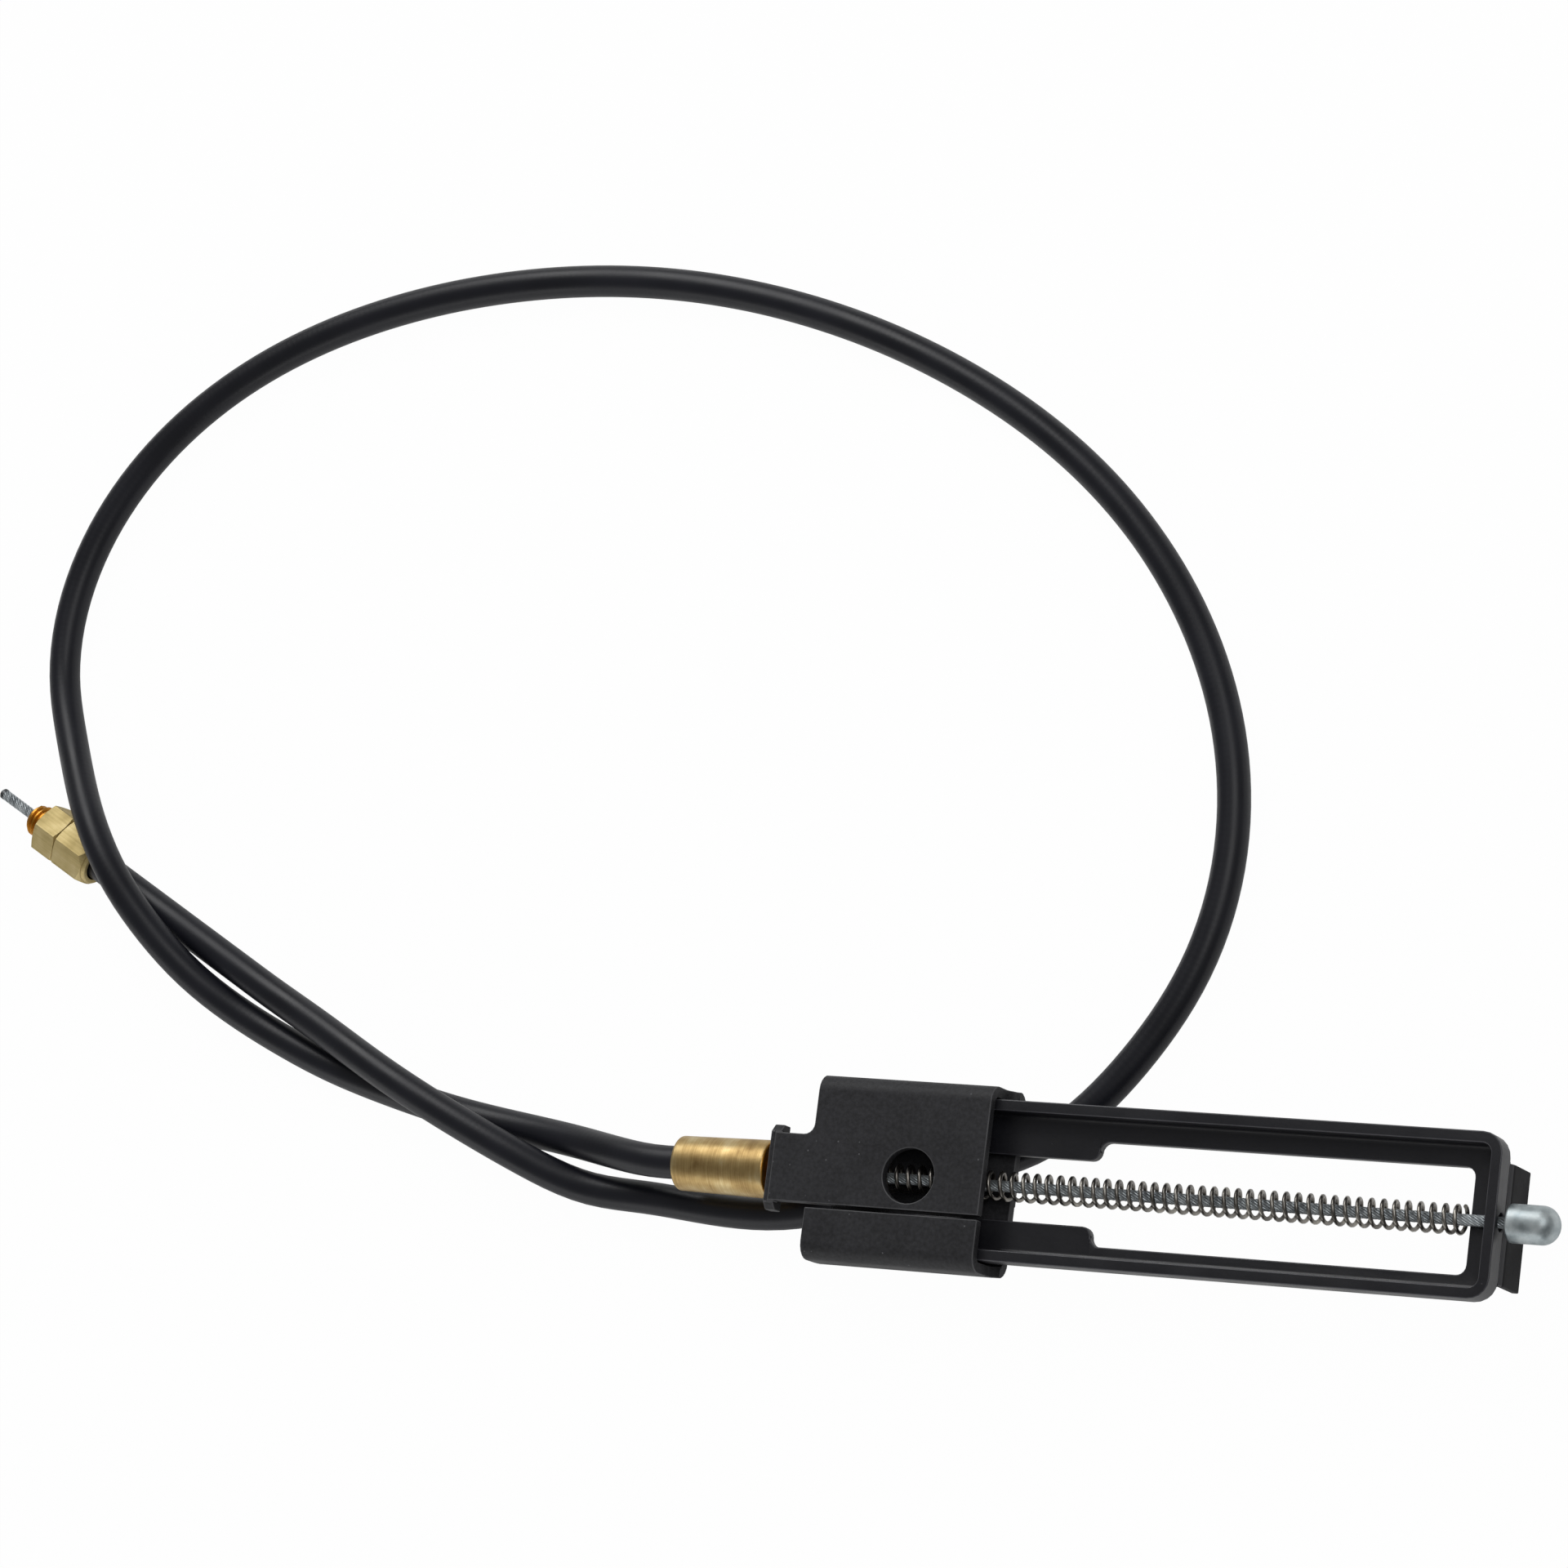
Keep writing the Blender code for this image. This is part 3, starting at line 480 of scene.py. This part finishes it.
def springSteel():  # drawn spring wire: oily grey-brown, bright along the die lines
    made, tree, shader = newMaterial("drawn spring steel", Metallic=1.0, Roughness=0.3)
    where = addNode(tree, "ShaderNodeTexCoord")
    patch = addNode(tree, "ShaderNodeTexNoise",
                    {"Vector": where.outputs["Object"], "Scale": perMillimetre(3), "Detail": 3.0})
    colour = addNode(tree, "ShaderNodeValToRGB", {"Fac": patch.outputs["Fac"]},
                     stops=((0.3, "#63605b"), (0.5, "#8b8781"), (0.7, "#b3afa6")))
    tree.links.new(colour.outputs[0], shader.inputs["Base Color"])
    return made


headWire = newPiece("headWire", strandMesh("headWire", headWireLow.x, headWireHigh.x, onAxis),
                    sleeveBody, galvanised)
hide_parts("head_wire")
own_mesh(headWire)
spring = newPiece("returnSpring", springMesh("returnSpring"), sleeveBody, springSteel())
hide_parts("return_spring")
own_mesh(spring)
print("spring and head wire wound")


# Turned and cast pieces


def turnedMesh(name, profile, place, steps=96):  # profile of (along, radius) spun about X
    shape = bmesh.new()
    points = [shape.verts.new((a, r, 0.0)) for a, r in profile]
    for a, b in zip(points, points[1:] + points[:1]):
        if a.co.y > 0 or b.co.y > 0:
            shape.edges.new((a, b))
    bmesh.ops.spin(
        shape,
        geom=shape.verts[:] + shape.edges[:],
        cent=(0.0, 0.0, 0.0),
        axis=(1.0, 0.0, 0.0),
        angle=2 * math.pi,
        steps=steps,
        use_merge=True,
    )
    shape.transform(place)
    return closeShape(shape, name, smoothAngle=30)


def arcRound(centre, radius, start, end, steps=6):  # points of a rounded corner in a profile
    swings = np.radians(np.linspace(start, end, steps + 1))
    return [(centre[0] + radius * math.cos(t), centre[1] + radius * math.sin(t)) for t in swings]


# Free-cutting brass: fine tool lines, tarnish in soft patches
def turnedBrass(name, colours, metallic, roughness, lineSize, turn):
    made, tree, shader = newMaterial(name, Metallic=metallic)
    where = addNode(tree, "ShaderNodeTexCoord")
    place = addNode(tree, "ShaderNodeMapping", {"Vector": where.outputs["Object"], "Rotation": turn})
    stretch = addNode(tree, "ShaderNodeVectorMath", {0: place.outputs[0], 1: lineSize}, operation="MULTIPLY")
    lines = addNode(tree, "ShaderNodeTexNoise", {"Vector": stretch.outputs[0], "Scale": 1.0, "Detail": 3.0})
    patch = addNode(tree, "ShaderNodeTexNoise",
                    {"Vector": where.outputs["Object"], "Scale": perMillimetre(4.5), "Detail": 4.0})
    both = addNode(tree, "ShaderNodeMix",  # mostly patches, with some tool lines
                   {0: 0.3, 2: patch.outputs["Fac"], 3: lines.outputs["Fac"]})
    dark, middle, light = colours
    colour = addNode(tree, "ShaderNodeValToRGB", {"Fac": both.outputs[0]},
                     stops=((0.32, dark), (0.5, middle), (0.68, light)))
    tree.links.new(colour.outputs[0], shader.inputs["Base Color"])
    rough = addNode(tree, "ShaderNodeMapRange",
                    {"Value": both.outputs[0], "From Min": 0.3, "From Max": 0.7,
                     "To Min": roughness[0], "To Max": roughness[1]})
    tree.links.new(rough.outputs[0], shader.inputs["Roughness"])
    bump = addNode(tree, "ShaderNodeBump",
                   {"Height": lines.outputs["Fac"], "Strength": 0.18, "Distance": 0.03 * millimetre})
    tree.links.new(bump.outputs[0], shader.inputs["Normal"])
    return made


ferrule = {
    "mouth": 0.0045,
    "body": 0.0048,
    "length": 0.0170,
    "round": 0.0005,
    "socket": 0.00305,
    "socketDepth": 0.0105,
    "mouthLip": 0.0002,           # bevel where the casing goes in
    "neck": 0.0022,
    "headStart": 0.0199,
    "headLength": 0.0015,
    "head": 0.0029,
    "bore": 0.00125,
}


def ferruleProfile():
    f = ferrule
    headEnd = f["headStart"] + f["headLength"]
    return [
        (0.0, f["socket"] + f["mouthLip"]),
        *arcRound((f["round"], f["mouth"] - f["round"]), f["round"], 180, 90),
        *arcRound((f["length"] - f["round"], f["body"] - f["round"]), f["round"], 90, 0),
        (f["length"], f["neck"]),
        (f["headStart"], f["neck"]),
        (f["headStart"], f["head"]),
        (headEnd, f["head"]),
        (headEnd, f["bore"]),
        (f["socketDepth"], f["bore"]),
        (f["socketDepth"], f["socket"]),
        (f["mouthLip"], f["socket"]),
    ]


nipple = {
    "radius": 0.00305,
    "length": 0.0082,
    "dome": 0.0028,
    "domeSteps": 14,
    "round": 0.0006,
    "bore": 0.00125,
    "socket": 0.0055,
}


def nippleProfile():
    n = nipple
    shoulder = n["length"] - n["dome"]
    quarter = arcRound((0.0, 0.0), 1.0, 90, 0, n["domeSteps"])[:-1]
    dome = [(shoulder + n["dome"] * a, n["radius"] * r) for a, r in quarter]
    return [
        (0.0, n["bore"]),
        *arcRound((n["round"], n["radius"] - n["round"]), n["round"], 180, 90),
        *dome,
        (n["length"], 0.0),
        (n["socket"], 0.0),
        (n["socket"], n["bore"]),
    ]


def castZinc():  # zinc alloy cast straight onto the wire: dull silver with soft mottled patches
    made, tree, shader = newMaterial("as-cast zinc", Metallic=1.0)
    where = addNode(tree, "ShaderNodeTexCoord")
    mottle = addNode(tree, "ShaderNodeTexNoise",
                     {"Vector": where.outputs["Object"], "Scale": perMillimetre(2.2), "Detail": 4.0})
    colour = addNode(tree, "ShaderNodeValToRGB", {"Fac": mottle.outputs["Fac"]},
                     stops=((0.32, "#98a2a5"), (0.52, "#bac3c5"), (0.7, "#d3dadb")))
    tree.links.new(colour.outputs[0], shader.inputs["Base Color"])
    rough = addNode(tree, "ShaderNodeMapRange",
                    {"Value": mottle.outputs["Fac"], "From Min": 0.3, "From Max": 0.7,
                     "To Min": 0.42, "To Max": 0.56})
    tree.links.new(rough.outputs[0], shader.inputs["Roughness"])
    bump = addNode(tree, "ShaderNodeBump",
                   {"Height": mottle.outputs["Fac"], "Strength": 0.5, "Distance": 0.12 * millimetre})
    tree.links.new(bump.outputs[0], shader.inputs["Normal"])
    return made


acrossLines = (perMillimetre(0.16), perMillimetre(6), perMillimetre(6))    # rings round X
alongLines = (perMillimetre(9), perMillimetre(0.35), perMillimetre(0.35))  # streaks along X
fittingTurn = (0.0, 0.0, fittingAngle)
ferruleFinish = {
    "colours": ("#8f7449", "#ba9f6c", "#d5c497"),  # tarnished, plain, bright
    "metallic": 1.0,
    "roughness": (0.5, 0.36),     # tarnished, bright
    "lineSize": acrossLines,
    "turn": (0.0, 0.0, 0.0),
}
threadAndGlintFinish = {                  # redder than the rest, as heat and cutting left it on the thread; on the ferrule's ring and neck the redness is a painted orange glint
    "colours": ("#a06a20", "#c88c34", "#e0b060"),
    "metallic": 1.0,
    "roughness": (0.5, 0.36),
    "lineSize": acrossLines,
    "turn": fittingTurn,
}
hexFinish = {                     # paler and duller, with a skin of oxide
    "colours": ("#b3a06a", "#cab781", "#dac998"),
    "metallic": 0.75,
    "roughness": (0.62, 0.52),
    "lineSize": alongLines,
    "turn": fittingTurn,
}
ferruleBrass = turnedBrass("turned brass", **ferruleFinish)
threadAndGlintBrass = turnedBrass("cut thread brass and painted glint", **threadAndGlintFinish)
fittingBrass = turnedBrass("drawn hexagon brass", **hexFinish)

ferrulePlace = Matrix.Translation((ferruleLow.x, axisY, axisZ))
ferrulePiece = newPiece("ferrule", turnedMesh("ferrule", ferruleProfile(), ferrulePlace),
                        sleeveBody, ferruleBrass)
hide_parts("casing_ferrule")
ferrulePiece.data.materials.append(threadAndGlintBrass)
ringStart = ferruleLow.x + ferrule["length"] - ferrule["round"] / 2
for face in ferrulePiece.data.polygons:  # the ring and neck by the sleeve are redder: a painted orange glint
    face.material_index = int(face.center.x > ringStart)
nipplePlace = Matrix.Translation((nippleLow.x, axisY, axisZ))
nipplePiece = newPiece("nipple", turnedMesh("nipple", nippleProfile(), nipplePlace),
                       jawBody, castZinc())
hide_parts("cable_nipple")
print("ferrule and nipple turned")


# Pressed steel: sleeve and jaw frame


def softCopy(nodeName, pieceName, edge):  # the node's own shape, merged, with its sharp edges rounded
    shape = bmesh.new()
    shape.from_mesh(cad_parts[nodeName].data)
    bmesh.ops.remove_doubles(shape, verts=shape.verts, dist=nodeWeldDistance)
    bmesh.ops.dissolve_limit(shape, angle_limit=math.radians(edge["flat"]),
                             verts=shape.verts, edges=shape.edges)
    limit = math.radians(edge["sharp"])
    sharp = [e for e in shape.edges if len(e.link_faces) == 2 and e.calc_face_angle() > limit]
    rounded = bmesh.ops.bevel(
        shape,
        geom=sharp,
        offset=edge["width"],
        segments=edge["segments"],
        profile=0.5,
        affect="EDGES",
        material=-1,
    )
    wear = shape.verts.layers.float.new("edgeWear")
    band = set(rounded["faces"])
    for face in rounded["faces"]:
        for vert in face.verts:
            vert[wear] = 1.0 if all(f in band for f in vert.link_faces) else 0.0
    bmesh.ops.connect_verts_concave(shape, faces=shape.faces)  # else a U-shaped face fills across its gap
    mesh = bpy.data.meshes.new(pieceName)
    shape.to_mesh(mesh)
    shape.free()
    mesh.shade_smooth()
    mesh.set_sharp_from_angle(angle=math.radians(edge["smooth"]))
    return mesh


def levelNormals(piece):  # keeps the flats flat beside their rounded edges
    step = piece.modifiers.new("level normals", "WEIGHTED_NORMAL")
    step.keep_sharp = True


# Angles in degrees: below flat faces join, above sharp an edge is rounded, below smooth it is shaded round
sheetEdge = {"flat": 0.5, "sharp": 30, "smooth": 50, "width": 0.00022, "segments": 3}
hexEdge = {"flat": 0.5, "sharp": 22, "smooth": 50, "width": 0.00006, "segments": 2}
dustColour = "#77777a"


# Black coat on steel sheet: finely grained, with specks of dust, paler where its edges are rubbed
def blackCoat(name, colours, worn, roughness, specular, grainSize, grainDepth, speckShare):
    made, tree, shader = newMaterial(name, Specular_IOR_Level=specular, IOR=1.5)
    where = addNode(tree, "ShaderNodeTexCoord")
    cloud = addNode(tree, "ShaderNodeTexNoise",
                    {"Vector": where.outputs["Object"], "Scale": perMillimetre(9), "Detail": 4.0})
    grain = addNode(tree, "ShaderNodeTexNoise",
                    {"Vector": where.outputs["Object"], "Scale": perMillimetre(grainSize), "Detail": 2.0})
    specks = addNode(tree, "ShaderNodeTexVoronoi",
                     {"Vector": where.outputs["Object"], "Scale": perMillimetre(3.0), "Randomness": 1.0})
    dots = addNode(tree, "ShaderNodeMapRange",
                   {"Value": specks.outputs["Distance"], "From Min": 0.0, "From Max": speckShare,
                    "To Min": 1.0, "To Max": 0.0})
    fleck = addNode(tree, "ShaderNodeMix",  # two thirds grain, one third cloud
                    {0: 0.65, 2: cloud.outputs["Fac"], 3: grain.outputs["Fac"]})
    base = addNode(tree, "ShaderNodeValToRGB", {"Fac": fleck.outputs[0]},
                   stops=((0.35, colours[0]), (0.65, colours[1])))
    edge = addNode(tree, "ShaderNodeAttribute", attribute_name="edgeWear")
    patchy = addNode(tree, "ShaderNodeMath", {0: edge.outputs["Fac"], 1: cloud.outputs["Fac"]},
                     operation="MULTIPLY")
    rubbed = addNode(tree, "ShaderNodeMix",
                     {0: patchy.outputs[0], 6: base.outputs[0], 7: linear(worn)}, data_type="RGBA")
    speckled = addNode(tree, "ShaderNodeMix",
                       {0: dots.outputs[0], 6: rubbed.outputs[2], 7: linear(dustColour)}, data_type="RGBA")
    tree.links.new(speckled.outputs[2], shader.inputs["Base Color"])
    rough = addNode(tree, "ShaderNodeMapRange",
                    {"Value": cloud.outputs["Fac"], "From Min": 0.3, "From Max": 0.7,
                     "To Min": roughness[0], "To Max": roughness[1]})
    tree.links.new(rough.outputs[0], shader.inputs["Roughness"])
    bump = addNode(tree, "ShaderNodeBump",
                   {"Height": grain.outputs["Fac"], "Strength": 0.25, "Distance": grainDepth * millimetre})
    tree.links.new(bump.outputs[0], shader.inputs["Normal"])
    return made


sleeveFinish = {                  # matte and thick
    "colours": ("#252527", "#363639"),
    "worn": "#747476",            # where the edges are rubbed
    "roughness": (0.5, 0.62),
    "specular": 0.3,
    "grainSize": 0.6,             # mm, coarser than the real coat's so that it shows
    "grainDepth": 0.12,           # mm
    "speckShare": 0.06,
}
frameFinish = {                   # thinner and glossier
    "colours": ("#121218", "#18181e"),
    "worn": "#5a5a60",
    "roughness": (0.34, 0.46),
    "specular": 0.55,
    "grainSize": 0.6,
    "grainDepth": 0.06,
    "speckShare": 0.03,
}
lipPaintedShadeFinish = {                     # the frame's black made duller and darker on the lip, as painted shade
    "colours": ("#141416", "#1a1a1c"),
    "worn": "#3c3c40",
    "roughness": (0.55, 0.66),
    "specular": 0.12,
    "grainSize": 0.6,
    "grainDepth": 0.06,
    "speckShare": 0.03,
}
sleeveCoat = blackCoat("matte charcoal epoxy coat", **sleeveFinish)
frameCoat = blackCoat("semi-gloss black oxide", **frameFinish)
# the lip's coat is darker and duller than the frame's: painted shade
lipPaintedShadeCoat = blackCoat("black oxide with painted shade", **lipPaintedShadeFinish)

sleevePiece = newPiece("sleeve", softCopy("slide_body", "sleeve", sheetEdge),
                       sleeveBody, sleeveCoat)
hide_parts("slide_body")
levelNormals(sleevePiece)
framePiece = newPiece("jawFrame", softCopy("jaw_frame", "jawFrame", sheetEdge),
                      jawBody, frameCoat)
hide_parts("jaw_frame")
levelNormals(framePiece)
framePiece.data.materials.append(lipPaintedShadeCoat)
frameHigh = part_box("jaw_frame")[1]
lip = {"depth": 0.0020, "top": 0.0083}  # the folded lip under the frame's end wall, in a duller, darker black that paints in its shade
for face in framePiece.data.polygons:
    onShadedLip = face.center.x > frameHigh.x - lip["depth"] and face.center.z < lip["top"]
    face.material_index = int(onShadedLip)
print("sleeve and jaw frame coated")


# Hex fitting at the free end


thread = {
    "inside": 0.0012,             # past the hexagon, where the thread starts inside the nut
    "core": 0.00258,
    "crest": 0.00299,
    "pitch": 0.0009,
    "crestWidth": 0.0002,
    "flankShare": 0.48,           # share of the pitch on each side of the crest
    "rootSink": 0.0001,           # the ridge's foot in the core
    "bore": 0.00125,
    "stepsPerTurn": 48,
}


def stubMesh(name):  # bored core with a helical ridge wound on it
    start, end = fitting["hexEnd"] + thread["inside"], fitting["stubEnd"]
    chamfer = thread["crest"] - thread["core"]
    core = [
        (start, thread["bore"]),
        (start, thread["core"]),
        (end - chamfer, thread["core"]),
        (end, thread["core"] - chamfer),
        (end, thread["bore"]),
    ]
    shape = bmesh.new()
    shape.from_mesh(turnedMesh("stub core", core, Matrix.Identity(4)))
    half, flat = thread["pitch"] * thread["flankShare"], thread["crestWidth"] / 2
    root = thread["core"] - thread["rootSink"]
    first = start + half
    ridge = [
        (first - half, root),
        (first - flat, thread["crest"]),
        (first + flat, thread["crest"]),
        (first + half, root),
    ]
    ring = [shape.verts.new((a, r, 0.0)) for a, r in ridge]
    cap = shape.faces.new(ring)
    turns = (end - chamfer - half - first) / thread["pitch"]
    steps = round(turns * thread["stepsPerTurn"])
    bmesh.ops.spin(
        shape,
        geom=[cap],
        cent=(0.0, 0.0, 0.0),
        axis=(1.0, 0.0, 0.0),
        dvec=(turns * thread["pitch"] / steps, 0.0, 0.0),
        angle=2 * math.pi * turns,
        steps=steps,
        use_duplicate=False,
    )
    shape.transform(onFitting)
    return closeShape(shape, name, smoothAngle=30)


def hexBody(name):  # the adjuster's hexagon and collar, its stub cut off inside the nut
    mesh = softCopy("hex_adjuster", name, hexEdge)
    shape = bmesh.new()
    shape.from_mesh(mesh)
    cutAt = Vector(fitting["place"]) + outwards * (fitting["hexEnd"] + fitting["stubCut"])
    cut = bmesh.ops.bisect_plane(shape, geom=shape.verts[:] + shape.edges[:] + shape.faces[:],
                                 plane_co=cutAt, plane_no=outwards, clear_outer=True)
    rim = [e for e in cut["geom_cut"] if isinstance(e, bmesh.types.BMEdge)]
    bmesh.ops.bridge_loops(shape, edges=rim)
    shape.to_mesh(mesh)
    shape.free()
    return mesh


adjuster = newPiece("hexAdjuster", hexBody("hexAdjuster"), sleeveBody, fittingBrass)
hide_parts("hex_adjuster")
levelNormals(adjuster)
nut = newPiece("jamNut", softCopy("jam_nut", "jamNut", hexEdge), sleeveBody, fittingBrass)
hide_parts("jam_nut")
levelNormals(nut)
stub = newPiece("threadedStub", stubMesh("threadedStub"), sleeveBody, threadAndGlintBrass)

tail = {
    "inside": 0.0568,             # from the stub's end back into the casing
    "proud": 0.0088,              # from the stub's end out to the tip
    "cap": 0.0009,                # length of the fused tip
    "capRound": 0.0003,
    "capSides": 24,
}


def fusedTip():  # the strand's end where it was cut and fused: burnt grey metal
    made, tree, shader = newMaterial("fused strand end", Metallic=1.0, Roughness=0.5)
    where = addNode(tree, "ShaderNodeTexCoord")
    burn = addNode(tree, "ShaderNodeTexNoise",
                   {"Vector": where.outputs["Object"], "Scale": perMillimetre(0.8), "Detail": 3.0})
    colour = addNode(tree, "ShaderNodeValToRGB", {"Fac": burn.outputs["Fac"]},
                     stops=((0.35, "#2c2c2e"), (0.65, "#77797b")))
    tree.links.new(colour.outputs[0], shader.inputs["Base Color"])
    return made


tailLow, tailHigh = fitting["stubEnd"] - tail["inside"], fitting["stubEnd"] + tail["proud"]
tailWire = newPiece("wireTail", strandMesh("wireTail", tailLow, tailHigh - tail["cap"] / 2, onFitting),
                    pullBody, galvanised)
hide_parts("wire_tail")
tipRadius = cable["wire"] / 2
tipStart = tailHigh - tail["cap"]
tipProfile = [
    (tipStart, 0.0),
    (tipStart, tipRadius),
    (tailHigh - tail["capRound"], tipRadius),
    (tailHigh, tipRadius - tail["capRound"]),
    (tailHigh, 0.0),
]
tip = newPiece("fusedTip", turnedMesh("fusedTip", tipProfile, onFitting, tail["capSides"]),
               pullBody, fusedTip())
print("hex fitting and wire tail made")
